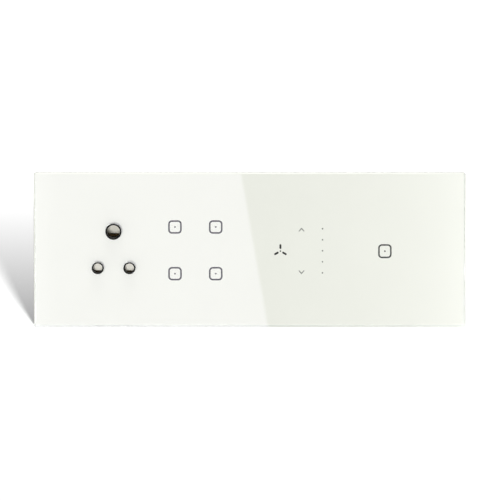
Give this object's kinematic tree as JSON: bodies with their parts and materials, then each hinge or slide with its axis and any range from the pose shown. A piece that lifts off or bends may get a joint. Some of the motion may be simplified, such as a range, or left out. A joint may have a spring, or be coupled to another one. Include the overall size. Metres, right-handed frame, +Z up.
{
  "type": "switch and socket plate",
  "caption": "Flush wall plate in white back-printed glass, with touch switches, a fan speed touch control and a shuttered round-pin outlet.",
  "frame": {"origin": "centre of the plate on the wall plane, at the grid's rear face", "axes": "+X to the right and +Z up as the plate hangs, +Y into the wall; the glass faces -Y"},
  "size_m": [0.26, 0.0391, 0.094],
  "materials": {
    "clear_glass": "clear, polished edges",
    "white_enamel": "white print fired behind the glass",
    "foam_tape": "closed-cell foam",
    "white_moulding": "fine matt",
    "grey_moulding": "fine matt",
    "black_moulding": "fine matt",
    "black_gloss": "polished",
    "ivory_moulding": "smooth",
    "spring_steel": "bright",
    "zinc_steel": "zinc plated",
    "brass": "bright",
    "green_board": "solder mask",
    "dark_foam": "conductive foam",
    "lamp_resin": "cast",
    "relay_blue": "moulded case",
    "relay_black": "moulded case",
    "terminal_green": "moulded",
    "film_yellow": "moulded case",
    "coil_yellow": "taped",
    "can_black": "sleeved can",
    "header_black": "moulded, with plated pins"
  },
  "bodies": {
    "wall_unit": {"mounting_grid": "grey_moulding", "retaining_springs": "spring_steel", "outlet_cover": "white_moulding", "outlet_base": "black_moulding", "pin_bushes": "black_gloss", "shutter_spring": "spring_steel", "live_contact": "brass", "neutral_contact": "brass", "earth_contact": "brass", "outlet_terminal_screws": "zinc_steel", "outlet_rear_cover": "grey_moulding", "outlet_case_screws": "zinc_steel", "light_cover": "white_moulding", "light_box": "white_moulding", "light_touch_board": "green_board", "light_touch_pads": "dark_foam", "light_lamps": "lamp_resin", "light_power_board": "green_board", "light_board_header": "header_black", "light_terminal_block": "terminal_green", "light_terminal_clamps": "zinc_steel", "fan_cover": "white_moulding", "fan_box": "white_moulding", "fan_touch_board": "green_board", "fan_touch_pads": "dark_foam", "fan_lamps": "lamp_resin", "fan_power_board": "green_board", "fan_board_header": "header_black", "fan_terminal_block": "terminal_green", "fan_terminal_clamps": "zinc_steel", "heavy_cover": "white_moulding", "heavy_box": "white_moulding", "heavy_touch_board": "green_board", "heavy_touch_pads": "dark_foam", "heavy_lamps": "lamp_resin", "heavy_power_board": "green_board", "heavy_board_header": "header_black", "heavy_terminal_block": "terminal_green", "heavy_terminal_clamps": "zinc_steel", "light_relays": "relay_blue", "light_transformer": "coil_yellow", "light_capacitor": "can_black", "fan_relays": "relay_blue", "fan_speed_capacitors": "film_yellow", "heavy_relay": "relay_black", "heavy_transformer": "coil_yellow", "heavy_capacitor": "can_black"},
    "front_plate": {"glass_panel": "clear_glass", "back_print": "white_enamel", "bonding_tape": "foam_tape", "carrier_frame": "white_moulding"},
    "shutter": {"outlet_shutter": "ivory_moulding"}
  },
  "joints": [
    {"name": "front_plate_pull", "type": "slide", "parent": "wall_unit", "child": "front_plate", "axis": [0, -1, 0], "range_m": [0, 0.025], "deforming": ["retaining_springs"]},
    {"name": "shutter_slide", "type": "slide", "parent": "wall_unit", "child": "shutter", "axis": [0, 0, 1], "range_m": [0, 0.0064], "stiffness_N_per_m": 150, "springref_m": -0.003, "deforming": ["shutter_spring"]}
  ]
}
